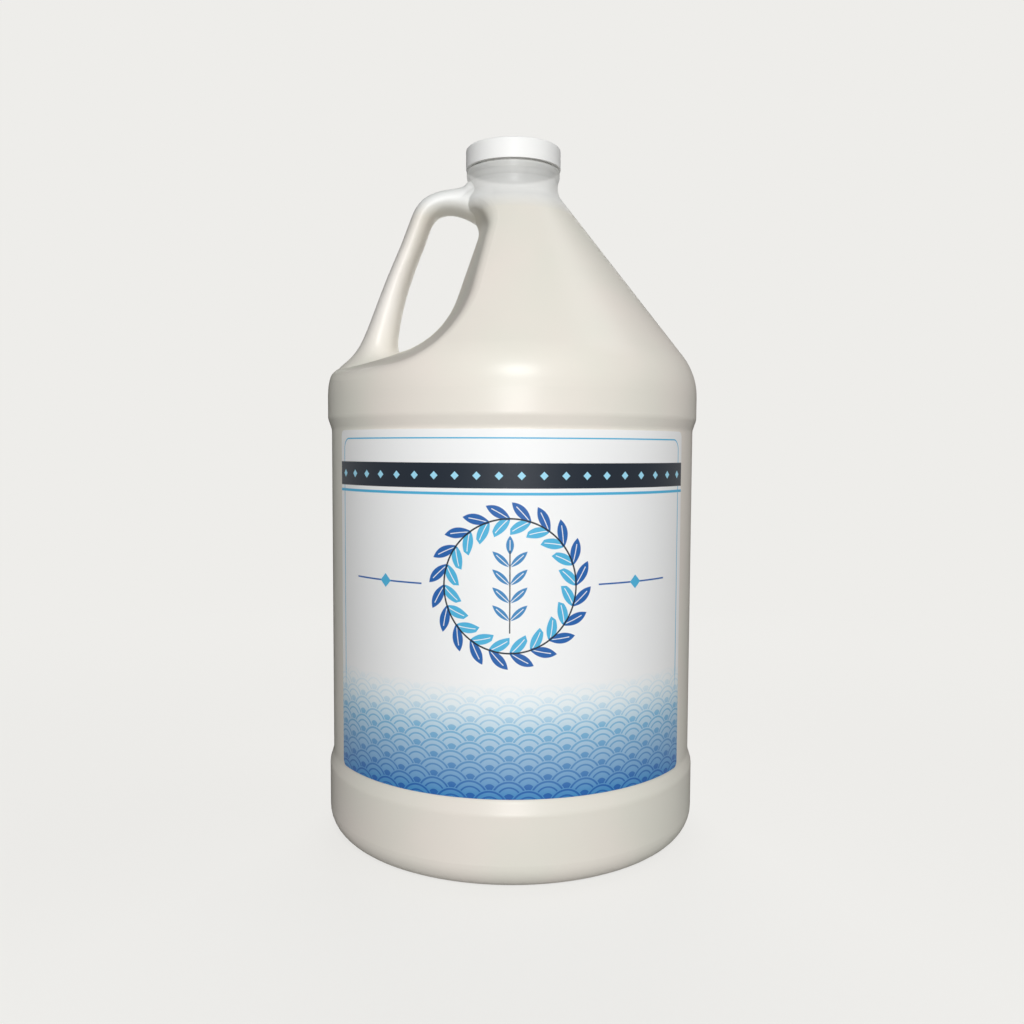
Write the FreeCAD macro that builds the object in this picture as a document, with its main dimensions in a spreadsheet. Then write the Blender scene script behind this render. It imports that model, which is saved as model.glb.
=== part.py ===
"""Handled one-gallon lotion jug: blow-moulded body, screw cap, liner, front label and contents.

Frame: origin at the middle of the base on the standing plane, +Z up, handle towards -X,
label facing -Y.  Lengths are millimetres and angles degrees.
"""
import FreeCAD
import Part
import Sketcher
import math
import os

SIZES = [
    ("band_radius", 77.5, "outer radius of the base band and the shoulder band"),
    ("panel_depth", 1.5, "how far the label panel is set in from the bands"),
    ("heel_round", 10.5, "round between the base and the base band"),
    ("stand_inner_radius", 58.0, "inner radius of the ring the jug stands on"),
    ("push_up_slope", 9.0, "radial run of the slope from the ring up to the raised base"),
    ("push_up", 4.0, "height of the raised middle of the base"),
    ("base_band_top", 29.0, "top of the base band"),
    ("lower_lip", 4.8, "height of the slope from the base band in to the panel"),
    ("upper_lip", 4.5, "height of the slope from the panel out to the shoulder band"),
    ("lip_round", 5.0, "round on the two lips of the panel"),
    ("shoulder_band", 23.2, "height of the shoulder band with its lip, up to the cone"),
    ("shoulder_round", 27.0, "round between the shoulder band and the cone"),
    ("cone_rise", 75.4, "height of the cone from the shoulder band to the neck"),
    ("neck_radius", 18.8, "outer radius of the neck under the bead"),
    ("neck_height", 4.6, "height of the straight neck between the cone and the bead"),
    ("neck_blend", 9.0, "hollow round between the cone and the neck"),
    ("bead_height", 5.1, "height of the bead with the swelling under it"),
    ("bead_rise", 2.8, "height of the swelling under the bead"),
    ("bead_radius", 19.6, "outer radius of the bead under the cap"),
    ("finish_radius", 17.4, "outer radius of the neck finish inside the cap"),
    ("finish_height", 6.8, "height of the neck finish above the bead"),
    ("neck_top", 283.1, "height of the sealing land at the top of the neck"),
    ("wall", 1.1, "wall thickness of the blown body"),
    ("neck_wall", 2.0, "wall thickness of the neck and its finish"),
    ("recess_top_x", -23.0, "centre of the upper round of the hand recess"),
    ("recess_top_share", 0.20955, "share of the cone's height above that centre"),
    ("recess_top_round", 8.0, "upper round of the hand recess"),
    ("recess_top_angle", 36.0, "slope of the recess above its upper round"),
    ("recess_floor_x", -57.8, "centre of the lower round of the hand recess"),
    ("recess_floor_share", 0.40318, "share of the cone's height above that centre"),
    ("recess_floor_round", 36.0, "lower round of the hand recess"),
    ("recess_floor_angle", 15.0, "fall of the recess floor towards the shoulder"),
    ("recess_draft_angle", 10.5, "draft of the hand recess, opening to the front and back"),
    ("recess_ridge_round", 30.0, "round along the middle of the hand recess, where its two drafts meet"),
    ("recess_rim_round", 5.0, "round on the rim of the hand recess"),
    ("label_clearance", 0.1, "adhesive layer between the panel and the label"),
    ("label_thickness", 0.2, "thickness of the label"),
    ("label_margin", 0.8, "bare panel above and below the label"),
    ("label_wrap_angle", 120.5, "angle the label takes up round the jug"),
    ("label_turn_angle", -0.4, "angle from the front to the middle of the label"),
    ("label_corner", 2.5, "round on the corners of the label"),
    ("lotion_clearance", 0.3, "gap left between the contents and the wall"),
    ("fill_drop", 9.6, "how far the contents stay below the foot of the neck"),
    ("liner_thickness", 1.0, "thickness of the cap liner"),
    ("liner_radius", 18.4, "radius of the cap liner"),
    ("cap_radius", 19.9, "outer radius of the cap"),
    ("cap_skirt", 1.3, "wall thickness of the cap skirt"),
    ("cap_top", 1.5, "thickness of the top of the cap"),
    ("cap_bead_gap", 1.0, "gap between the bead and the cap"),
    ("cap_rim_round", 0.9, "round on the upper edge of the cap"),
]

# Stations of the handle from the neck to the foot:
# x, share of the cone's height above it, tilt, half thickness, half width
HANDLE = [
    ("root", -10.0, 0.0676, 0.0, 10.5, 12.5),
    ("bar_start", -21.0, 0.0345, 0.0, 6.2, 9.8),
    ("bar", -28.0, 0.0371, -6.0, 4.9, 9.4),
    ("elbow", -36.1, 0.0875, -38.0, 4.75, 9.4),
    ("grip_top", -40.2, 0.1976, -66.0, 4.5, 9.4),
    ("grip_mid", -48.5, 0.4761, -70.0, 4.9, 9.8),
    ("grip_foot", -54.8, 0.7454, -73.0, 6.5, 10.4),
    ("flare", -57.1, 0.87, -86.0, 9.1, 12.6),
    ("spread", -57.2, 0.9363, -90.0, 14.2, 17.0),
    ("buried", -57.5, 1.0292, -90.0, 18.0, 21.0),
]

doc = FreeCAD.newDocument("handled_jug")
sheet = doc.addObject("Spreadsheet::Sheet", "Sizes")


class Dim:
    """A number kept together with the sheet expression that gives it."""

    def __init__(self, text, value):
        self.text = text
        self.value = value

    def __add__(self, other):
        other = dim(other)
        return Dim("(%s + %s)" % (self.text, other.text), self.value + other.value)

    def __sub__(self, other):
        other = dim(other)
        return Dim("(%s - %s)" % (self.text, other.text), self.value - other.value)

    def __mul__(self, other):
        other = dim(other)
        return Dim("(%s * %s)" % (self.text, other.text), self.value * other.value)


def dim(number):
    """Return number as a Dim."""
    if isinstance(number, Dim):
        return number
    return Dim(repr(float(number)), float(number))


class Sizes:
    """The driving sizes, one attribute for each cell of the sheet."""


size = Sizes()


def add_size(row, alias, value, note):
    """Write one driving size to the sheet."""
    sheet.set("A%d" % row, alias)
    sheet.set("B%d" % row, repr(float(value)))
    sheet.set("C%d" % row, note)
    sheet.setAlias("B%d" % row, alias)
    setattr(size, alias, Dim("Sizes." + alias, float(value)))


row_number = 1
for alias, value, note in SIZES:
    add_size(row_number, alias, value, note)
    row_number += 1
STATION_PARTS = ("x", "share", "angle", "half_thick", "half_wide")
for station in HANDLE:
    for part, value in zip(STATION_PARTS, station[1:]):
        add_size(row_number, "handle_%s_%s" % (station[0], part), value, "handle station")
        row_number += 1
doc.recompute()

V = FreeCAD.Vector

# Heights, worked down from the top of the neck
bead_top = size.neck_top - size.finish_height
bead_start = bead_top - size.bead_height
neck_base = bead_start - size.neck_height
shoulder_height = neck_base - size.cone_rise
panel_top = shoulder_height - size.shoulder_band
panel_bottom = size.base_band_top + size.lower_lip


def height_on_cone(share):
    """Return the height with this share of the cone above it."""
    return neck_base - size.cone_rise * share


def new_body(name):
    """Add an empty body."""
    body = doc.addObject("PartDesign::Body", name)
    body.Label = name
    return body


def new_sketch(body, name, plane):
    """Add a sketch on one of the body's own origin planes."""
    sketch = body.newObject("Sketcher::SketchObject", name)
    planes = {feature.Role: feature for feature in body.Origin.OriginFeatures}
    sketch.AttachmentSupport = [(planes[plane], "")]
    sketch.MapMode = "FlatFace"
    return sketch


def hold(sketch, constraint, name, length, unit=""):
    """Add a constraint and bind it to a size."""
    index = sketch.addConstraint(constraint)
    sketch.renameConstraint(index, name)
    sketch.setExpression("Constraints." + name, length.text + unit)


def hold_point(sketch, geometry, end, name, across, up):
    """Fix a point of the sketch by its distances from the origin."""
    for kind, length in (("DistanceX", across), ("DistanceY", up)):
        constraint = Sketcher.Constraint(kind, -1, 1, geometry, end, length.value)
        hold(sketch, constraint, name + "_" + kind, length)


def rounded_polygon(sketch, corners):
    """Draw a closed polygon whose corners, and the rounds on them, are bound to sizes."""
    count = len(corners)
    places = [V(corner[1].value, corner[2].value, 0) for corner in corners]
    starts = []
    ends = []
    rounds = []
    for index in range(count):
        here = places[index]
        back = (places[index - 1] - here).normalize()
        ahead = (places[(index + 1) % count] - here).normalize()
        if len(corners[index]) < 4:
            ends.append(here)
            starts.append(here)
            rounds.append(None)
            continue
        radius = corners[index][3].value
        half = back.getAngle(ahead) / 2.0
        ends.append(here + back * (radius / math.tan(half)))
        starts.append(here + ahead * (radius / math.tan(half)))
        centre = here + (back + ahead).normalize() * (radius / math.sin(half))
        middle = centre + (here - centre).normalize() * radius
        rounds.append(Part.Arc(ends[-1], middle, starts[-1]))
    lines = []
    for index in range(count):
        following = (index + 1) % count
        lines.append(sketch.addGeometry(Part.LineSegment(starts[index], ends[following]), False))
    for index in range(count):
        name, across, up = corners[index][:3]
        before = lines[index - 1]
        after = lines[index]
        if rounds[index] is None:
            sketch.addConstraint(Sketcher.Constraint("Coincident", before, 2, after, 1))
            hold_point(sketch, after, 1, name, across, up)
            continue
        arc = sketch.addGeometry(rounds[index], False)
        first = sketch.getPoint(arc, 1)
        flipped = (first - ends[index]).Length > (first - starts[index]).Length
        sketch.addConstraint(Sketcher.Constraint("Tangent", before, 2, arc, 2 if flipped else 1))
        sketch.addConstraint(Sketcher.Constraint("Tangent", after, 1, arc, 1 if flipped else 2))
        radius = corners[index][3]
        hold(sketch, Sketcher.Constraint("Radius", arc, radius.value), name + "_round", radius)
        point = sketch.addGeometry(Part.Point(places[index]), True)
        sketch.addConstraint(Sketcher.Constraint("PointOnObject", point, 1, before))
        sketch.addConstraint(Sketcher.Constraint("PointOnObject", point, 1, after))
        hold_point(sketch, point, 1, name, across, up)


def revolve(body, name, corners):
    """Turn a polygon round the Z axis."""
    sketch = new_sketch(body, name + "_profile", "XZ_Plane")
    rounded_polygon(sketch, corners)
    turned = body.newObject("PartDesign::Revolution", name)
    turned.Profile = sketch
    turned.ReferenceAxis = (sketch, ["V_Axis"])
    turned.Angle = 360
    doc.recompute()
    return turned


def round_edges(body, name, feature, edges, radius):
    """Round edges of a feature by a size."""
    if not edges:
        raise RuntimeError("no edges found for " + name)
    rounded = body.newObject("PartDesign::Fillet", name)
    rounded.Base = (feature, edges)
    rounded.setExpression("Radius", radius.text)
    doc.recompute()
    return rounded


def recess_outline(sketch, inset):
    """Draw the side outline of the hand recess, grown by inset."""
    upper_height = height_on_cone(size.recess_top_share)
    lower_height = height_on_cone(size.recess_floor_share)
    upper = (size.recess_top_x, upper_height, size.recess_top_round + inset)
    lower = (size.recess_floor_x, lower_height, size.recess_floor_round + inset)
    outside = size.band_radius * -1.3
    run = V(lower[0].value - upper[0].value, lower[1].value - upper[1].value, 0)
    lean = math.acos((upper[2].value - lower[2].value) / run.Length)
    wall_angle = math.atan2(run.y, run.x) + lean
    top_angle = math.radians(90.0 - size.recess_top_angle.value)
    floor_angle = math.radians(-90.0 + size.recess_floor_angle.value)

    def on_arc(arc, angle):
        across, up, radius = [length.value for length in arc]
        return V(across + radius * math.cos(angle), up + radius * math.sin(angle), 0)

    def arc_between(arc, first, last):
        circle = Part.Circle(V(arc[0].value, arc[1].value, 0), V(0, 0, 1), arc[2].value)
        return Part.ArcOfCircle(circle, first, last)

    top_end = on_arc(upper, top_angle)
    floor_end = on_arc(lower, floor_angle)
    top_rise = (top_end.x - outside.value) * math.tan(math.radians(size.recess_top_angle.value))
    top_far = V(outside.value, top_end.y + top_rise, 0)
    floor_fall = (floor_end.x - outside.value) * math.tan(math.radians(size.recess_floor_angle.value))
    floor_far = V(outside.value, floor_end.y - floor_fall, 0)
    top_line = sketch.addGeometry(Part.LineSegment(top_far, top_end), False)
    top_arc = sketch.addGeometry(arc_between(upper, wall_angle, top_angle), False)
    wall_line = sketch.addGeometry(
        Part.LineSegment(on_arc(upper, wall_angle), on_arc(lower, wall_angle)), False)
    floor_arc = sketch.addGeometry(arc_between(lower, floor_angle, wall_angle), False)
    floor_line = sketch.addGeometry(Part.LineSegment(floor_end, floor_far), False)
    far_line = sketch.addGeometry(Part.LineSegment(floor_far, top_far), False)
    sketch.addConstraint(Sketcher.Constraint("Tangent", top_line, 2, top_arc, 2))
    sketch.addConstraint(Sketcher.Constraint("Tangent", top_arc, 1, wall_line, 1))
    sketch.addConstraint(Sketcher.Constraint("Tangent", wall_line, 2, floor_arc, 2))
    sketch.addConstraint(Sketcher.Constraint("Tangent", floor_arc, 1, floor_line, 1))
    sketch.addConstraint(Sketcher.Constraint("Coincident", floor_line, 2, far_line, 1))
    sketch.addConstraint(Sketcher.Constraint("Coincident", far_line, 2, top_line, 1))
    sketch.addConstraint(Sketcher.Constraint("Vertical", far_line))
    hold_point(sketch, top_arc, 3, "upper", upper[0], upper[1])
    hold_point(sketch, floor_arc, 3, "lower", lower[0], lower[1])
    hold(sketch, Sketcher.Constraint("Radius", top_arc, upper[2].value), "upper_round", upper[2])
    hold(sketch, Sketcher.Constraint("Radius", floor_arc, lower[2].value), "lower_round", lower[2])
    hold(sketch, Sketcher.Constraint("DistanceX", -1, 1, far_line, 1, outside.value), "outside", outside)
    slope = size.recess_top_angle * -1.0
    constraint = Sketcher.Constraint("Angle", top_line, math.radians(slope.value))
    hold(sketch, constraint, "top_slope", slope, " * 1 deg")
    slope = size.recess_floor_angle - 180.0
    constraint = Sketcher.Constraint("Angle", floor_line, math.radians(slope.value))
    hold(sketch, constraint, "floor_slope", slope, " * 1 deg")


def jug_form(name, inset, hollow):
    """Build the jug's form set in by inset: revolved body, hand recess and handle."""
    body = new_body(name)
    zero = dim(0)
    panel_radius = size.band_radius - size.panel_depth
    cone_run = size.band_radius - size.neck_radius
    half_turn = Dim(
        "tan(atan(%s / %s) / 2)" % (cone_run.text, size.cone_rise.text),
        math.tan(math.atan(cone_run.value / size.cone_rise.value) / 2.0))
    shoulder = shoulder_height - inset * half_turn
    corners = [
        ("axis_base", zero, size.push_up + inset),
        ("push_up", size.stand_inner_radius - size.push_up_slope, size.push_up + inset),
        ("stand", size.stand_inner_radius, inset),
        ("heel", size.band_radius - inset, inset, size.heel_round - inset),
        ("base_band", size.band_radius - inset, size.base_band_top, size.lip_round),
        ("panel_low", panel_radius - inset, panel_bottom, size.lip_round),
        ("panel_high", panel_radius - inset, panel_top, size.lip_round),
        ("upper_band", size.band_radius - inset, panel_top + size.upper_lip, size.lip_round),
        ("shoulder", size.band_radius - inset, shoulder, size.shoulder_round - inset),
    ]
    if hollow:
        neck_in = size.neck_radius - size.neck_wall
        bore = size.finish_radius - size.neck_wall
        neck_low = neck_base - inset * half_turn
        above = size.neck_top + size.neck_wall
        corners += [
            ("neck_low", neck_in, neck_low, size.neck_blend),
            ("neck_high", neck_in, bead_start),
            ("bore_low", bore, bead_top),
            ("bore_high", bore, above),
            ("axis_top", zero, above),
        ]
    else:
        corners += [
            ("neck_low", size.neck_radius, neck_base, size.neck_blend),
            ("bead_start", size.neck_radius, bead_start),
            ("bead_low", size.bead_radius, bead_start + size.bead_rise),
            ("bead_high", size.bead_radius, bead_top),
            ("finish_low", size.finish_radius, bead_top),
            ("finish_high", size.finish_radius, size.neck_top),
            ("axis_top", zero, size.neck_top),
        ]
    tip = revolve(body, name + "_turned", corners)
    sketch = new_sketch(body, name + "_recess_outline", "XZ_Plane")
    recess_outline(sketch, inset)
    before = tip.Shape.Volume
    recess = body.newObject("PartDesign::Pocket", name + "_recess")
    recess.Profile = sketch
    recess.Type = "Length"
    recess.SideType = "Two sides"
    recess.Type2 = "Length"
    for depth in ("Length", "Length2"):
        recess.setExpression(depth, size.band_radius.text)
    for draft in ("TaperAngle", "TaperAngle2"):
        recess.setExpression(draft, size.recess_draft_angle.text + " * 1 deg")
    doc.recompute()
    if not recess.Shape.Volume < before:
        raise RuntimeError("the hand recess of %s takes nothing away" % name)
    edges = recess_ridge(recess.Shape)
    ridge = round_edges(body, name + "_ridge", recess, edges, size.recess_ridge_round - inset)
    edges = recess_rim(ridge.Shape)
    round_edges(body, name + "_rim", ridge, edges, size.recess_rim_round - inset)
    body.Tip = handle(body, name + "_handle", inset)
    doc.recompute()
    return body


def recess_faces(shape):
    """List the faces that are not turned round the Z axis."""
    faces = []
    for face in shape.Faces:
        axis = getattr(face.Surface, "Axis", None)
        if axis is None or abs(axis.z) < 1.0 - 1e-6:
            faces.append(face)
    return faces


def count_uses(edge, faces):
    """Count how many of the faces an edge bounds."""
    return sum(1 for face in faces for own in face.Edges if own.isSame(edge))


def recess_ridge(shape):
    """Name the edges in the handle plane where the two drafts of the recess meet."""
    faces = recess_faces(shape)
    names = []
    for index, edge in enumerate(shape.Edges):
        box = edge.BoundBox
        if max(abs(box.YMin), abs(box.YMax)) < 1e-3 and count_uses(edge, faces) == 2:
            names.append("Edge%d" % (index + 1))
    return names


def recess_rim(shape):
    """Name the edges round the mouth of the hand recess."""
    faces = recess_faces(shape)
    names = []
    for index, edge in enumerate(shape.Edges):
        if count_uses(edge, faces) == 1:
            names.append("Edge%d" % (index + 1))
    return names


def handle(body, name, inset):
    """Loft the handle through oval sections, each set in by inset."""
    sections = []
    for station in HANDLE:
        place = "handle_" + station[0]
        across = getattr(size, place + "_x")
        up = height_on_cone(getattr(size, place + "_share"))
        tilt = getattr(size, place + "_angle")
        thick = getattr(size, place + "_half_thick") - inset
        wide = getattr(size, place + "_half_wide") - inset
        sketch = new_sketch(body, "%s_%s" % (name, station[0]), "YZ_Plane")
        turn = FreeCAD.Rotation(V(1, 0, 0), tilt.value)
        sketch.AttachmentOffset = FreeCAD.Placement(V(0, up.value, across.value), turn)
        sketch.setExpression("AttachmentOffset.Base.y", up.text)
        sketch.setExpression("AttachmentOffset.Base.z", across.text)
        sketch.setExpression("AttachmentOffset.Rotation.Angle", tilt.text + " * 1 deg")
        oval = Part.Ellipse(V(wide.value, 0, 0), V(0, thick.value, 0), V(0, 0, 0))
        sketch.addGeometry(oval, False)
        sketch.exposeInternalGeometry(0)
        sketch.addConstraint(Sketcher.Constraint("Coincident", 0, 3, -1, 1))
        sketch.addConstraint(Sketcher.Constraint("Horizontal", 1))
        hold(sketch, Sketcher.Constraint("Distance", 1, 2.0 * wide.value), "wide", wide * 2.0)
        hold(sketch, Sketcher.Constraint("Distance", 2, 2.0 * thick.value), "thick", thick * 2.0)
        sections.append(sketch)
    loft = body.newObject("PartDesign::AdditiveLoft", name)
    loft.Profile = sections[0]
    loft.Sections = sections[1:]
    loft.Ruled = False
    doc.recompute()
    return loft


def cylinder(name, radius, bottom, height):
    """Add an upright cylinder on the axis."""
    drum = doc.addObject("Part::Cylinder", name)
    drum.setExpression("Radius", radius.text)
    drum.setExpression("Height", height.text)
    drum.Placement = FreeCAD.Placement(V(0, 0, bottom.value), FreeCAD.Rotation())
    drum.setExpression("Placement.Base.z", bottom.text)
    return drum


outer = jug_form("jug_outer", dim(0), False)
cavity = jug_form("jug_cavity", size.wall, True)
jug = doc.addObject("Part::Cut", "jug_body")
jug.Base = outer
jug.Tool = cavity
jug.Refine = True

contents = jug_form("lotion_form", size.wall + size.lotion_clearance, True)
level = cylinder("fill_level", size.band_radius, dim(0), neck_base - size.fill_drop)
lotion = doc.addObject("Part::Common", "lotion_fill")
lotion.Base = contents
lotion.Tool = level
lotion.Refine = True

liner = cylinder("cap_liner", size.liner_radius, size.neck_top, size.liner_thickness)

cap_low = bead_top + size.cap_bead_gap
cap_inside = size.neck_top + size.liner_thickness
cap_high = cap_inside + size.cap_top
skirt_radius = size.cap_radius - size.cap_skirt
cap = new_body("screw_cap")
cap_turned = revolve(cap, "cap_turned", [
    ("axis_low", dim(0), cap_inside),
    ("roof", skirt_radius, cap_inside),
    ("skirt_inside", skirt_radius, cap_low),
    ("skirt_outside", size.cap_radius, cap_low),
    ("edge", size.cap_radius, cap_high, size.cap_rim_round),
    ("axis_high", dim(0), cap_high),
])
cap.Tip = cap_turned

label = new_body("front_label")
label_inside = size.band_radius - size.panel_depth + size.label_clearance
label_outside = label_inside + size.label_thickness
label_bottom = panel_bottom + size.label_margin
label_top = panel_top - size.label_margin
label_turned = revolve(label, "label_turned", [
    ("inside_low", label_inside, label_bottom),
    ("outside_low", label_outside, label_bottom),
    ("outside_high", label_outside, label_top),
    ("inside_high", label_inside, label_top),
])
label_turned.Midplane = True
label_turned.setExpression("Angle", size.label_wrap_angle.text + " * 1 deg")
doc.recompute()
corners = []
for index, edge in enumerate(label_turned.Shape.Edges):
    if isinstance(edge.Curve, Part.Line) and abs(edge.Length - size.label_thickness.value) < 1e-6:
        corners.append("Edge%d" % (index + 1))
label.Tip = round_edges(label, "label_corners", label_turned, corners, size.label_corner)
facing = size.label_turn_angle - 90.0
label.Placement = FreeCAD.Placement(V(0, 0, 0), FreeCAD.Rotation(V(0, 0, 1), facing.value))
label.setExpression("Placement.Rotation.Angle", facing.text + " * 1 deg")
doc.recompute()

NODES = [jug, lotion, label, liner, cap]
for item in doc.Objects:
    state = " ".join(item.State)
    if "Invalid" in state or "Error" in state:
        raise RuntimeError("%s did not build: %s" % (item.Label, state))
os.makedirs("parts", exist_ok=True)
for node in NODES:
    shape = node.Shape
    if shape.isNull() or not shape.isValid() or len(shape.Solids) != 1:
        raise RuntimeError("%s is not one sound solid" % node.Label)
    shape.exportStep("parts/%s.step" % node.Label)
    print(node.Label, round(shape.Volume / 1000.0, 2), "cm3", [round(v, 2) for v in (
        shape.BoundBox.XMin, shape.BoundBox.XMax, shape.BoundBox.YMin, shape.BoundBox.YMax,
        shape.BoundBox.ZMin, shape.BoundBox.ZMax)])
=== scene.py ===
"""Looks of the handled lotion jug: natural plastic body, white cap, printed label and contents."""
import math
import bpy
from mathutils import Matrix, Vector


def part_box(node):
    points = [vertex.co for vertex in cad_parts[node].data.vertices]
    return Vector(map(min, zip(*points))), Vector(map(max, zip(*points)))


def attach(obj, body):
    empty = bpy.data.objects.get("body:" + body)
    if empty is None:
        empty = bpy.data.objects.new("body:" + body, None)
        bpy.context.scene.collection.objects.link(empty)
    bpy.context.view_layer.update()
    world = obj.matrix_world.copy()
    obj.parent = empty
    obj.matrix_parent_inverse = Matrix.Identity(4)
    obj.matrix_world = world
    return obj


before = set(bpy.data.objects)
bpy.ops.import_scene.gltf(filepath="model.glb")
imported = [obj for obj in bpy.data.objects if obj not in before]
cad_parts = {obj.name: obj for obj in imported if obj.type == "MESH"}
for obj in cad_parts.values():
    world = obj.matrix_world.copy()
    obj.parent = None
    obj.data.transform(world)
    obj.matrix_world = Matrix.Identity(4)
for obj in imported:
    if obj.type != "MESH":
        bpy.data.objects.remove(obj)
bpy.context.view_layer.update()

MM = 0.001
FILL_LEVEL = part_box("lotion_fill")[1].z
NECK_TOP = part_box("cap_liner")[0].z


def linear(red, green, blue):
    """Turn a screen colour of 0 to 255 into the linear colour a shader takes."""
    def channel(level):
        level /= 255.0
        return level / 12.92 if level <= 0.04045 else ((level + 0.055) / 1.055) ** 2.4
    return (channel(red), channel(green), channel(blue), 1.0)


STUDIO_PALE = linear(238, 237, 234)
GLOSS_FADE = 0.72
GLOSS_FADE_SOFT = 0.5


class Shade:
    """One socket of a finish; arithmetic on it adds Math nodes."""

    def __init__(self, finish, socket):
        self.finish = finish
        self.socket = socket

    def maths(self, operation, first, second=0.0, clamp=False):
        settings = {"operation": operation, "use_clamp": clamp}
        return self.finish.node("ShaderNodeMath", settings, {0: first, 1: second})

    def __add__(self, other):
        return self.maths("ADD", self, other)

    __radd__ = __add__

    def __sub__(self, other):
        return self.maths("SUBTRACT", self, other)

    def __rsub__(self, other):
        return self.maths("SUBTRACT", other, self)

    def __mul__(self, other):
        return self.maths("MULTIPLY", self, other)

    __rmul__ = __mul__

    def __truediv__(self, other):
        return self.maths("DIVIDE", self, other)

    def __abs__(self):
        return self.maths("ABSOLUTE", self)

    def __neg__(self):
        return self.maths("MULTIPLY", self, -1.0)

    def floor(self):
        return self.maths("FLOOR", self)

    def root(self):
        return self.maths("SQRT", self)

    def turn_from(self, other):
        """Return the angle of a point whose height is this value and whose reach is the other."""
        return self.maths("ARCTAN2", self, other)

    def most(self, other):
        return self.maths("MAXIMUM", self, other)

    def above(self, level, soft):
        """Rise from 0 to 1 as the value passes level, over a width of soft."""
        return self.maths("MULTIPLY_ADD", self, 1.0 / soft, clamp=True).with_third(0.5 - level / soft)

    def below(self, level, soft):
        """Fall from 1 to 0 as the value passes level, over a width of soft."""
        return self.maths("MULTIPLY_ADD", self, -1.0 / soft, clamp=True).with_third(0.5 + level / soft)

    def with_third(self, value):
        """Set the number that a multiply-add node adds."""
        self.socket.node.inputs[2].default_value = value
        return self


class Finish:
    """The nodes of one material, or of the world."""

    def __init__(self, owner):
        owner.use_nodes = True
        self.owner = owner
        self.tree = owner.node_tree
        self.tree.nodes.clear()

    def node(self, kind, settings=None, sockets=None, output=0):
        """Add a node, set its settings, then feed its sockets."""
        made = self.tree.nodes.new(kind)
        for key, value in (settings or {}).items():
            setattr(made, key, value)
        for key, value in (sockets or {}).items():
            if isinstance(value, Shade):
                self.tree.links.new(value.socket, made.inputs[key])
            else:
                made.inputs[key].default_value = value
        return Shade(self, made.outputs[output]) if made.outputs else None

    def place(self):
        """Return the object coordinates as a vector."""
        return self.node("ShaderNodeTexCoord", output="Object")

    def millimetres(self, point):
        """Split a vector into millimetres across, deep and up."""
        parts = self.node("ShaderNodeSeparateXYZ", None, {0: point})
        outputs = parts.socket.node.outputs
        return [Shade(self, outputs[axis]) / MM for axis in range(3)]

    def grain(self, point, size, detail=2.0):
        """Return smooth noise from 0 to 1 whose lumps are about size metres."""
        sockets = {"Vector": point, "Scale": 1.0 / size, "Detail": detail, "Roughness": 0.5}
        return self.node("ShaderNodeTexNoise", None, sockets, output="Fac")

    def blend(self, amount, first, second):
        """Mix two colours."""
        return self.node("ShaderNodeMix", {"data_type": "RGBA"}, {0: amount, 6: first, 7: second}, output=2)

    def facing_gloss(self, weight):
        """Return a gloss weight that is full face on and fades towards grazing angles."""
        away = self.node("ShaderNodeLayerWeight", None, {"Blend": 0.5}, output="Facing")
        return away.below(GLOSS_FADE, GLOSS_FADE_SOFT) * weight

    def relief(self, height, strength, depth):
        """Turn a height into a normal."""
        return self.node("ShaderNodeBump", None, {"Strength": strength, "Distance": depth, "Height": height})

    def surface(self, sockets):
        """Finish with one principled shader."""
        shader = self.node("ShaderNodeBsdfPrincipled", None, sockets)
        self.node("ShaderNodeOutputMaterial", None, {"Surface": shader})
        return self.owner


def new_finish(name):
    """Start a material."""
    return Finish(bpy.data.materials.new(name))


def wear(node, material):
    """Give a CAD node its material."""
    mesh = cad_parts[node].data
    mesh.materials.clear()
    mesh.materials.append(material)


# Natural plastic of the blown jug: heights, radii and widths in millimetres
CREAM_WARM = linear(235, 228, 219)
CREAM_COOL = linear(229, 227, 216)
HANDLE_PALE = linear(245, 241, 235)
EMPTY_WALL = linear(249, 250, 248)
BAR_OPACITY = 0.94
SKIN_OPACITY = 0.55
SKIN_RADIUS = 17.1
SKIN_FOOT = 18.3
SKIN_SLOPE = 0.7785
NECK_FOOT = NECK_TOP / MM - 16.5
FILL_LINE = FILL_LEVEL / MM + 2.5
FILL_SMEAR = 7.0
BAR_STANDS = 2.6
BAR_TOP = NECK_FOOT + 6.4
ROOT_ACROSS = -11.0
ROOT_TOP = NECK_FOOT - 1.5
HANDLE_ZONE_ACROSS = -44.0
HANDLE_ZONE_FROM = 206.0
PLASTIC_GLOSS = 0.7
PLASTIC_ROUGH = 0.34
PEEL_SIZE = 2.4 * MM
DRIFT_SIZE = 45.0 * MM
SEAM_WIDTH = 0.5


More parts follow.
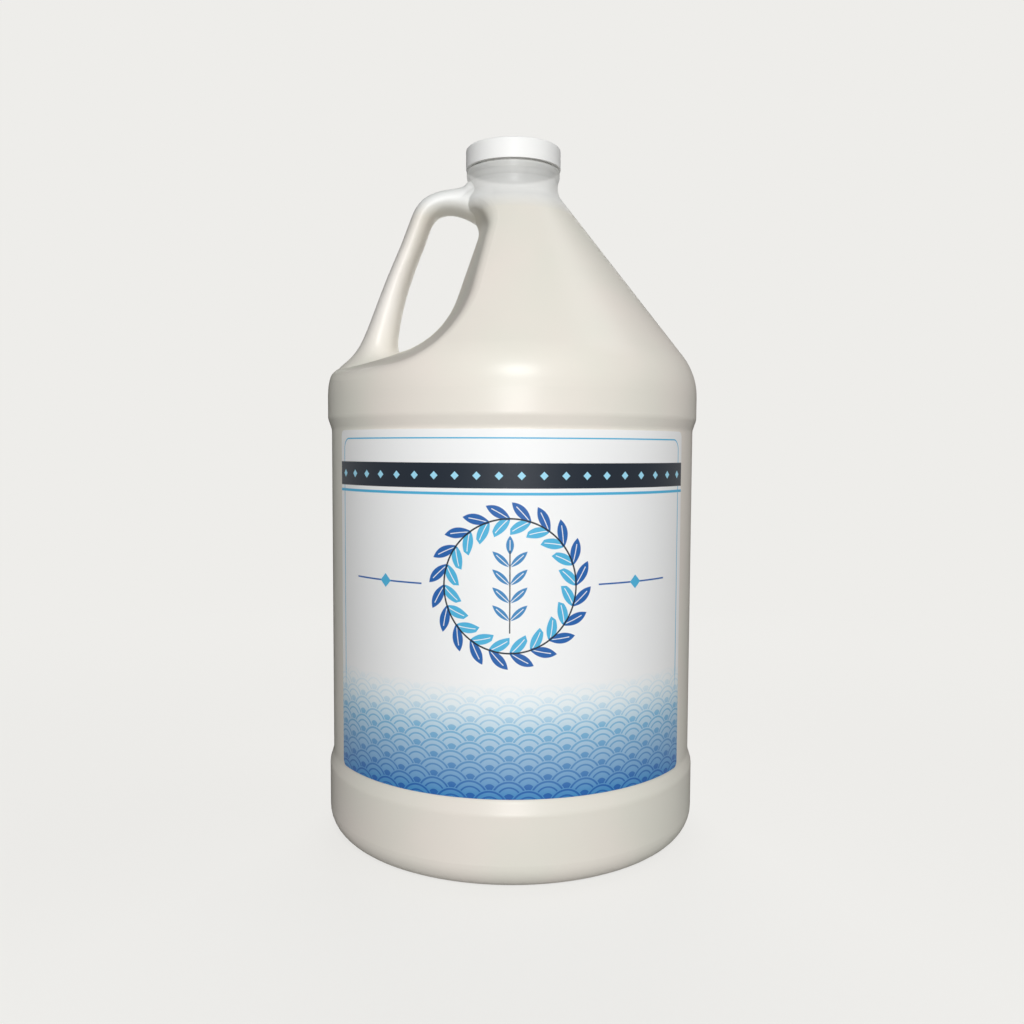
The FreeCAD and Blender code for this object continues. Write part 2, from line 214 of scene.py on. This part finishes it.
def natural_plastic():
    """Cream where it is filled, milky and clearer above the fill line."""
    finish = new_finish("natural_plastic")
    point = finish.place()
    across, deep, up = finish.millimetres(point)
    drift = finish.grain(point, DRIFT_SIZE)
    peel = finish.grain(point, PEEL_SIZE)
    empty = up.above(FILL_LINE, FILL_SMEAR)
    filled = finish.blend(drift.above(0.5, 0.35), CREAM_WARM, CREAM_COOL)
    radius = (across * across + deep * deep).root()
    inside = ((NECK_FOOT - up) * SKIN_SLOPE + SKIN_FOOT).most(SKIN_RADIUS)
    skin = (radius - inside).above(0.0, 0.2) * SKIN_OPACITY
    bar = (radius - inside).above(BAR_STANDS, 1.6) * up.below(BAR_TOP, 2.0)
    root = across.below(ROOT_ACROSS, 7.0) * up.below(ROOT_TOP, 4.0)
    opacity = bar.most(root) * (BAR_OPACITY - skin) + skin
    # The handle's region, left of the neck and high up, is coloured paler than the body
    handle_zone = across.below(HANDLE_ZONE_ACROSS, 14.0) * up.above(HANDLE_ZONE_FROM, 26.0)
    filled = finish.blend(handle_zone, filled, HANDLE_PALE)
    seam = abs(deep).below(SEAM_WIDTH / 2.0, SEAM_WIDTH)
    return finish.surface({
        "Base Color": finish.blend(empty, filled, EMPTY_WALL),
        "Roughness": peel * 0.08 + drift * 0.06 + PLASTIC_ROUGH,
        "Alpha": 1.0 - empty * (1.0 - opacity),
        "Normal": finish.relief(peel * 0.35 + seam, 0.1, 0.1 * MM),
        "Specular IOR Level": 0.0,
        "Coat Weight": finish.facing_gloss(PLASTIC_GLOSS),
        "Coat Roughness": PLASTIC_ROUGH,
    })


LOTION_WARM = linear(240, 232, 220)
LOTION_COOL = linear(234, 229, 216)
SWIRL_SIZE = 12.0 * MM


def lotion_cream():
    """Smooth cream with soft swirls."""
    finish = new_finish("lotion_cream")
    swirl = finish.grain(finish.place(), SWIRL_SIZE, 3.0)
    return finish.surface({
        "Base Color": finish.blend(swirl, LOTION_WARM, LOTION_COOL),
        "Roughness": swirl * 0.2 + 0.25,
        "Normal": finish.relief(swirl, 0.2, 0.4 * MM),
    })


CAP_WHITE = linear(251, 251, 249)
CAP_SHADE = linear(247, 248, 247)
CAP_GLOSS = 0.3
CAP_DRIFT_SIZE = 14.0 * MM
CAP_PEEL_SIZE = 0.9 * MM


def cap_plastic():
    """White moulded plastic with a faint grain."""
    finish = new_finish("cap_plastic")
    point = finish.place()
    drift = finish.grain(point, CAP_DRIFT_SIZE)
    peel = finish.grain(point, CAP_PEEL_SIZE)
    return finish.surface({
        "Base Color": finish.blend(drift, CAP_WHITE, CAP_SHADE),
        "Roughness": peel * 0.1 + 0.42,
        "Normal": finish.relief(peel, 0.12, 0.08 * MM),
        "Specular IOR Level": 0.0,
        "Coat Weight": finish.facing_gloss(CAP_GLOSS),
        "Coat Roughness": 0.4,
        "Sheen Weight": 0.2,
        "Sheen Roughness": 0.6,
    })


FOAM_WHITE = linear(235, 235, 231)
FOAM_PORE = linear(214, 214, 208)
PORE_SIZE = 0.5 * MM


def liner_foam():
    """White closed-cell foam."""
    finish = new_finish("liner_foam")
    pores = finish.grain(finish.place(), PORE_SIZE, 3.0)
    return finish.surface({
        "Base Color": finish.blend(pores.above(0.55, 0.3), FOAM_WHITE, FOAM_PORE),
        "Roughness": pores * 0.2 + 0.65,
        "Normal": finish.relief(pores, 0.5, 0.1 * MM),
    })


# Printed label: sizes in millimetres on the unrolled sheet, from its lower middle
LABEL_LOW, LABEL_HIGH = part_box("front_label")
LABEL_RADIUS = -LABEL_LOW.y
LABEL_LEFT = math.asin(LABEL_LOW.x / LABEL_RADIUS)
LABEL_RIGHT = math.asin(LABEL_HIGH.x / LABEL_RADIUS)
LABEL_MIDDLE = (LABEL_LEFT + LABEL_RIGHT) / 2.0
LABEL_WIDE = (LABEL_RIGHT - LABEL_LEFT) * LABEL_RADIUS / MM
LABEL_TALL = (LABEL_HIGH.z - LABEL_LOW.z) / MM
PAPER = linear(245, 246, 246)
NAVY = linear(20, 30, 42)
DEEP_BLUE = linear(38, 97, 169)
BLUE = linear(60, 134, 190)
SKY = linear(80, 179, 220)
PALE_SKY = linear(160, 219, 242)
MIST = linear(222, 242, 247)
PRINT_SOFT = 0.18
STRIPE_BOTTOM = LABEL_TALL - 21.0
STRIPE_TALL = 9.0
LOZENGE_PITCH = 8.0
LOZENGE_HALF = 1.5
RULE_GAP = 1.4
RULE_TALL = 1.0
KEYLINE_INSET = 3.2
KEYLINE_WIDE = 0.5
KEYLINE_CORNER = 4.0
WREATH_HEIGHT = 77.0
WREATH_RADIUS = 24.0
WREATH_LEAVES = 20
HOOP_HALF = 0.3
LEAVES_OFF_HOOP = 2.6
LEAF_LENGTH = 5.2
LEAF_WIDTH = 1.9
LEAF_LEAN = math.radians(38.0)
SPRIG_HALF = 12.8
SPRIG_PITCH = 6.4
SPRIG_LEAF = 4.2
SPRIG_LEAF_WIDE = 1.3
BUD_RISE = 1.8
BUD_LENGTH = 3.4
BUD_WIDE = 1.4
STEM_HALF = 0.22
STEM_DROP = 2.0
SPRIG_LEAN = math.radians(42.0)
SIDE_RULE_NEAR = 33.0
SIDE_RULE_FAR = 66.0
SIDE_RULE_HALF = 0.3
SIDE_LOZENGE = 2.6
SCALE_RADIUS = 7.0
SCALE_EDGE = 0.01
SCALE_ROWS_TALL = 42.0
FIBRE_SIZE = 0.8 * MM


def almond(along, side, length, width):
    """Return the mask of a pointed leaf with a bare rib up to two thirds of it."""
    taper = 1.0 - along * along / length ** 2
    leaf = (taper * width - side).above(0.0, PRINT_SOFT)
    rib = side.below(0.14, PRINT_SOFT) * along.below(length * 0.55, PRINT_SOFT)
    return leaf * (1.0 - rib)


def lozenge_row(across, up, pitch, half):
    """Return the mask of a row of lozenges along up = 0."""
    cell = across / pitch
    offset = (cell - cell.floor() - 0.5) * pitch
    return (abs(offset) + abs(up)).below(half, PRINT_SOFT)


def sprig(across, up):
    """Return the masks of an upright stem and of the pairs of leaves on it."""
    cell = up / SPRIG_PITCH
    rise = (cell - cell.floor() - 0.5) * SPRIG_PITCH
    out = abs(across) - SPRIG_LEAF * math.cos(SPRIG_LEAN)
    along = out * math.cos(SPRIG_LEAN) + rise * math.sin(SPRIG_LEAN)
    side = abs(rise * math.cos(SPRIG_LEAN) - out * math.sin(SPRIG_LEAN))
    shown = abs(up).below(SPRIG_HALF, PRINT_SOFT)
    leaves = almond(along, side, SPRIG_LEAF, SPRIG_LEAF_WIDE) * shown
    top = almond(up - SPRIG_HALF - BUD_RISE, abs(across), BUD_LENGTH, BUD_WIDE)
    stem = abs(across).below(STEM_HALF, PRINT_SOFT)
    stem *= abs(up + STEM_DROP).below(SPRIG_HALF + STEM_DROP, PRINT_SOFT)
    return stem, leaves.most(top)


def keyline(across, up):
    """Return the mask of a thin frame with round corners just inside the label's edge."""
    half_wide = LABEL_WIDE / 2.0 - KEYLINE_INSET - KEYLINE_CORNER
    half_tall = LABEL_TALL / 2.0 - KEYLINE_INSET - KEYLINE_CORNER
    right = (abs(across) - half_wide).most(0.0)
    above = (abs(up - LABEL_TALL / 2.0) - half_tall).most(0.0)
    off_line = abs(right * right + above * above - KEYLINE_CORNER ** 2)
    return off_line.below(KEYLINE_CORNER * KEYLINE_WIDE, KEYLINE_CORNER * PRINT_SOFT)


def leaf_ring(turn, reach, radius, lean):
    """Return the mask of a ring of leaves."""
    pitch = 2.0 * math.pi / WREATH_LEAVES
    cell = turn / pitch
    offset = (cell - cell.floor() - 0.5) * reach * pitch
    out = reach - radius
    along = offset * math.cos(lean) + out * math.sin(lean)
    side = abs(out * math.cos(lean) - offset * math.sin(lean))
    return almond(along, side, LEAF_LENGTH, LEAF_WIDTH)


def scale_rings(across, up):
    """Return the distance from the middle of the front-most scale at each place."""
    step = SCALE_RADIUS / 2.0
    row = (up / step).floor()
    odd = row - (row / 2.0).floor() * 2.0

    def centre_distance(shift, rise):
        cell = across / (2.0 * SCALE_RADIUS) + shift / 2.0
        aside = (cell - cell.floor() - 0.5) * (2.0 * SCALE_RADIUS)
        over = up - row * step + rise
        return (aside * aside + over * over).root()

    front = centre_distance(odd, step)
    middle = centre_distance(1.0 - odd, 0.0)
    behind = centre_distance(odd, -step)
    inside_front = front.below(SCALE_RADIUS, SCALE_EDGE)
    inside_middle = middle.below(SCALE_RADIUS, SCALE_EDGE)
    rest = middle * inside_middle + behind * (1.0 - inside_middle)
    return front * inside_front + rest * (1.0 - inside_front)


def printed_label():
    """White film with a navy stripe, a wreath round a sprig and a frieze of blue scales."""
    finish = new_finish("printed_label")
    point = finish.place()
    x, y, z = finish.millimetres(point)
    across = (x.turn_from(-y) - LABEL_MIDDLE) * (LABEL_RADIUS / MM)
    up = z - LABEL_LOW.z / MM

    distance = scale_rings(across, up)
    depth = up / SCALE_ROWS_TALL
    ground = finish.blend(depth.above(0.45, 0.9), BLUE, MIST)
    line = finish.blend(depth.above(0.5, 0.9), DEEP_BLUE, PALE_SKY)
    ring = abs(distance - SCALE_RADIUS * 0.9).below(0.35, PRINT_SOFT)
    ring = ring.most(abs(distance - SCALE_RADIUS * 0.62).below(0.3, PRINT_SOFT))
    ring = ring.most(distance.below(SCALE_RADIUS * 0.3, PRINT_SOFT))
    frieze = finish.blend(ring, ground, line)
    shown = depth.below(0.8, 0.4)
    colour = finish.blend(shown, PAPER, frieze)

    aloft = up - WREATH_HEIGHT
    turn = aloft.turn_from(across)
    reach = (across * across + aloft * aloft).root()
    outer = leaf_ring(turn, reach, WREATH_RADIUS + LEAVES_OFF_HOOP, LEAF_LEAN)
    inner = leaf_ring(turn, reach, WREATH_RADIUS - LEAVES_OFF_HOOP, -LEAF_LEAN)
    hoop = abs(reach - WREATH_RADIUS).below(HOOP_HALF, PRINT_SOFT)
    colour = finish.blend(inner, colour, SKY)
    colour = finish.blend(outer, colour, DEEP_BLUE)
    colour = finish.blend(hoop, colour, NAVY)
    stem, leaves = sprig(across, aloft)
    colour = finish.blend(leaves, colour, BLUE)
    colour = finish.blend(stem, colour, NAVY)

    aside = abs(across)
    beside = aside.above(SIDE_RULE_NEAR, PRINT_SOFT) * aside.below(SIDE_RULE_FAR, PRINT_SOFT)
    side_rule = beside * abs(aloft).below(SIDE_RULE_HALF, PRINT_SOFT)
    side_middle = (SIDE_RULE_NEAR + SIDE_RULE_FAR) / 2.0
    side_lozenge = (abs(aside - side_middle) + abs(aloft)).below(SIDE_LOZENGE, PRINT_SOFT)
    colour = finish.blend(side_rule, colour, DEEP_BLUE)
    colour = finish.blend(side_lozenge, colour, SKY)

    frame_line = keyline(across, up) * depth.above(0.85, 0.2)
    colour = finish.blend(frame_line, colour, SKY)
    stripe = up.above(STRIPE_BOTTOM, PRINT_SOFT) * up.below(STRIPE_BOTTOM + STRIPE_TALL, PRINT_SOFT)
    colour = finish.blend(stripe, colour, NAVY)
    lozenges = lozenge_row(across, up - STRIPE_BOTTOM - STRIPE_TALL / 2.0, LOZENGE_PITCH, LOZENGE_HALF)
    colour = finish.blend(lozenges, colour, PALE_SKY)
    rule_middle = STRIPE_BOTTOM - RULE_GAP - RULE_TALL / 2.0
    rule = abs(up - rule_middle).below(RULE_TALL / 2.0, PRINT_SOFT)
    colour = finish.blend(rule, colour, SKY)

    fibre = finish.grain(point, FIBRE_SIZE)
    return finish.surface({
        "Base Color": colour,
        "Roughness": fibre * 0.12 + 0.42,
        "Normal": finish.relief(fibre, 0.06, 0.05 * MM),
        "Specular IOR Level": 0.25,
    })


# Thread ridges of the neck and the cap: one right-hand helix, half a pitch apart
THREAD_LEAD = 4.2333 * MM
THREAD_STEPS = 96
THREAD_SWEEP = math.radians(288.0)
THREAD_LOW = NECK_TOP - 4.8 * MM
FINISH_RADIUS = 17.4 * MM
SKIRT_RADIUS = 18.6 * MM
RIDGE_SUNK = 0.2 * MM
RIDGE_STANDS = 0.9 * MM
NECK_RIDGE_HALF = 0.8 * MM
CAP_RIDGE_HALF = 0.7 * MM
CREST_SHARE = 0.45
CREST_ROUND = 0.2 * MM
SMOOTH_ANGLE = math.radians(40.0)
FADE_TURN = math.radians(7.0)
FADE_SHRINKS = (0.8, 0.62, 0.35)


def helix_rise(angle):
    """Return how far the thread climbs over an angle."""
    return THREAD_LEAD * angle / (2.0 * math.pi)


def fade_thread_end(core, angle, height, way):
    """Draw the selected end of a ridge out along the helix and shrink it into the core."""
    for shrink in FADE_SHRINKS:
        angle += way * FADE_TURN
        height += way * helix_rise(FADE_TURN)
        bpy.ops.mesh.extrude_region_move()
        bpy.ops.transform.rotate(value=-way * FADE_TURN, orient_axis="Z", center_override=(0.0, 0.0, 0.0))
        bpy.ops.transform.translate(value=(0.0, 0.0, way * helix_rise(FADE_TURN)))
        root = (core * math.cos(angle), core * math.sin(angle), height)
        bpy.ops.transform.resize(value=(shrink, shrink, shrink), center_override=root)


def thread_ridge(name, core, crest, half_wide, start):
    """Model a helical ridge that stands from core radius to crest radius and fades out at both ends."""
    bpy.ops.object.select_all(action="DESELECT")
    middle = (core + crest) / 2.0
    bpy.ops.mesh.primitive_plane_add(
        size=1.0, location=(middle, 0.0, THREAD_LOW), rotation=(math.pi / 2.0, 0.0, 0.0))
    ridge = bpy.context.object
    ridge.name = name
    ridge.scale = (abs(crest - core), 2.0 * half_wide, 1.0)
    bpy.ops.object.transform_apply(location=True, rotation=True, scale=True)
    bpy.ops.object.mode_set(mode="EDIT")
    bpy.ops.mesh.select_all(action="SELECT")
    bpy.ops.mesh.delete(type="ONLY_FACE")
    bpy.ops.object.mode_set(mode="OBJECT")
    for vertex in ridge.data.vertices:
        vertex.select = abs(vertex.co.x - crest) < 1e-6
    bpy.ops.object.mode_set(mode="EDIT")
    bpy.ops.mesh.select_mode(type="VERT")
    bpy.ops.transform.resize(value=(1.0, 1.0, CREST_SHARE), center_override=(crest, 0.0, THREAD_LOW))
    bpy.ops.mesh.bevel(affect="VERTICES", offset=CREST_ROUND, segments=3)
    bpy.ops.object.mode_set(mode="OBJECT")
    screw = ridge.modifiers.new("helix", "SCREW")
    screw.axis = "Z"
    screw.angle = THREAD_SWEEP
    screw.screw_offset = helix_rise(THREAD_SWEEP)
    screw.steps = THREAD_STEPS
    screw.render_steps = THREAD_STEPS
    bpy.ops.object.modifier_apply(modifier=screw.name)
    bpy.ops.object.mode_set(mode="EDIT")
    bpy.ops.mesh.select_all(action="SELECT")
    bpy.ops.mesh.remove_doubles(threshold=1e-6)
    bpy.ops.mesh.select_all(action="DESELECT")
    bpy.ops.mesh.select_non_manifold()
    bpy.ops.mesh.fill_holes(sides=0)
    bpy.ops.mesh.select_mode(type="FACE")
    high = THREAD_LOW + helix_rise(THREAD_SWEEP)
    for way, angle, height in ((-1.0, 0.0, THREAD_LOW), (1.0, THREAD_SWEEP, high)):
        bpy.ops.mesh.select_all(action="DESELECT")
        bpy.ops.object.mode_set(mode="OBJECT")
        for face in ridge.data.polygons:
            face.select = len(face.vertices) > 4 and abs(face.center.z - height) < half_wide / 2.0
        bpy.ops.object.mode_set(mode="EDIT")
        fade_thread_end(core, angle, height, way)
    bpy.ops.mesh.select_all(action="SELECT")
    bpy.ops.mesh.normals_make_consistent(inside=False)
    bpy.ops.object.mode_set(mode="OBJECT")
    ridge.rotation_euler = (0.0, 0.0, start)
    bpy.ops.object.transform_apply(location=False, rotation=True, scale=False)
    bpy.ops.object.shade_smooth_by_angle(angle=SMOOTH_ANGLE)
    return ridge


def mould_on(ridge, node, body):
    """Let a ridge move with a body and wear the finish of the node it is moulded on."""
    ridge.data.materials.append(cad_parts[node].data.materials[0])
    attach(ridge, body)


def light_softbox(name, place, aim, size, power):
    """Add a square area lamp aimed at a point."""
    bpy.ops.object.light_add(type="AREA", location=place)
    lamp = bpy.context.object
    lamp.name = name
    lamp.data.shape = "SQUARE"
    lamp.data.size = size
    lamp.data.energy = power
    lamp.rotation_euler = (Vector(aim) - Vector(place)).to_track_quat("-Z", "Y").to_euler()
    lamp.visible_camera = False


def seen_directly(finish):
    """Return 1 for rays from the camera, a reflection or a clear wall."""
    path = finish.node("ShaderNodeLightPath").socket.node.outputs
    camera = Shade(finish, path["Is Camera Ray"])
    glossy = Shade(finish, path["Is Glossy Ray"])
    through = Shade(finish, path["Is Transmission Ray"])
    return camera.most(glossy).most(through)


FLOOR_SPAN = 8.0
FLOOR_ALBEDO = linear(132, 131, 129)
PATCH_PALE = linear(245, 244, 241)
PATCH_REACH = 0.4
SHADOW_SHARE = 0.2


def studio_floor():
    """Lay a pale floor that fades into the background and keeps the shadow."""
    bpy.ops.object.select_all(action="DESELECT")
    bpy.ops.mesh.primitive_plane_add(size=FLOOR_SPAN)
    floor = bpy.context.object
    floor.name = "studio_floor"
    finish = new_finish("studio_floor")
    far = finish.node("ShaderNodeVectorMath", {"operation": "LENGTH"}, {0: finish.place()}, output="Value")
    patch = far.below(PATCH_REACH, PATCH_REACH)
    seen = seen_directly(finish)
    paint = finish.blend(seen, FLOOR_ALBEDO, PATCH_PALE)
    glow = finish.blend(patch, STUDIO_PALE, PATCH_PALE)
    plain = finish.node("ShaderNodeBsdfDiffuse", None, {"Color": paint})
    pale = finish.node("ShaderNodeEmission", None, {"Color": glow})
    shown = seen * (1.0 - patch * SHADOW_SHARE)
    mixed = finish.node("ShaderNodeMixShader", None, {0: shown, 1: plain, 2: pale})
    finish.node("ShaderNodeOutputMaterial", None, {"Surface": mixed})
    floor.data.materials.append(finish.owner)


AMBIENT = 0.02


def studio_world():
    """Set a dim surround that looks pale to the camera."""
    world = bpy.data.worlds.new("studio")
    bpy.context.scene.world = world
    finish = Finish(world)
    white = (1.0, 1.0, 1.0, 1.0)
    surround = finish.node("ShaderNodeBackground", None, {"Color": white, "Strength": AMBIENT})
    pale = finish.node("ShaderNodeBackground", None, {"Color": STUDIO_PALE, "Strength": 1.0})
    mixed = finish.node("ShaderNodeMixShader", None, {0: seen_directly(finish), 1: surround, 2: pale})
    finish.node("ShaderNodeOutputWorld", None, {"Surface": mixed})


LAMPS = [
    ("key_softbox", (0.05, -1.1, 0.75), (0.0, 0.0, 0.15), 0.26, 8.1),
    ("front_softbox", (0.04, -1.3, 0.15), (0.0, 0.0, 0.1), 0.4, 7.4),
    ("back_softbox", (0.0, 1.3, 0.45), (0.0, 0.0, 0.15), 0.9, 15.0),
    ("top_softbox", (0.75, 0.15, 1.35), (0.0, 0.0, 0.2), 0.5, 2.0),
]

CAMERA_PLACE = (0.0001, -0.4141, 0.1593)
CAMERA_DOWN = math.radians(3.606)
CAMERA_ROLL = math.radians(0.261)
CAMERA_LENS = 33.83


def photo_camera():
    """Stand the camera where the photograph was taken from."""
    bpy.ops.object.camera_add(location=CAMERA_PLACE)
    camera = bpy.context.object
    camera.name = "photo_camera"
    camera.data.sensor_width = 36.0
    camera.data.lens = CAMERA_LENS
    camera.data.clip_start = 0.01
    tilt = Matrix.Rotation(math.pi / 2.0 - CAMERA_DOWN, 3, "X")
    camera.rotation_euler = (tilt @ Matrix.Rotation(CAMERA_ROLL, 3, "Z")).to_euler()
    bpy.context.scene.camera = camera


photo_camera()
wear("jug_body", natural_plastic())
wear("lotion_fill", lotion_cream())
wear("screw_cap", cap_plastic())
wear("cap_liner", liner_foam())
wear("front_label", printed_label())

neck_thread = thread_ridge(
    "neck_thread", FINISH_RADIUS - RIDGE_SUNK, FINISH_RADIUS + RIDGE_STANDS, NECK_RIDGE_HALF, 0.0)
mould_on(neck_thread, "jug_body", "jug")
cap_thread = thread_ridge(
    "cap_thread", SKIRT_RADIUS + RIDGE_SUNK, SKIRT_RADIUS - RIDGE_STANDS, CAP_RIDGE_HALF, math.pi)
mould_on(cap_thread, "screw_cap", "cap")

studio_floor()
studio_world()
for lamp in LAMPS:
    light_softbox(*lamp)
bpy.context.scene.view_settings.view_transform = "Standard"
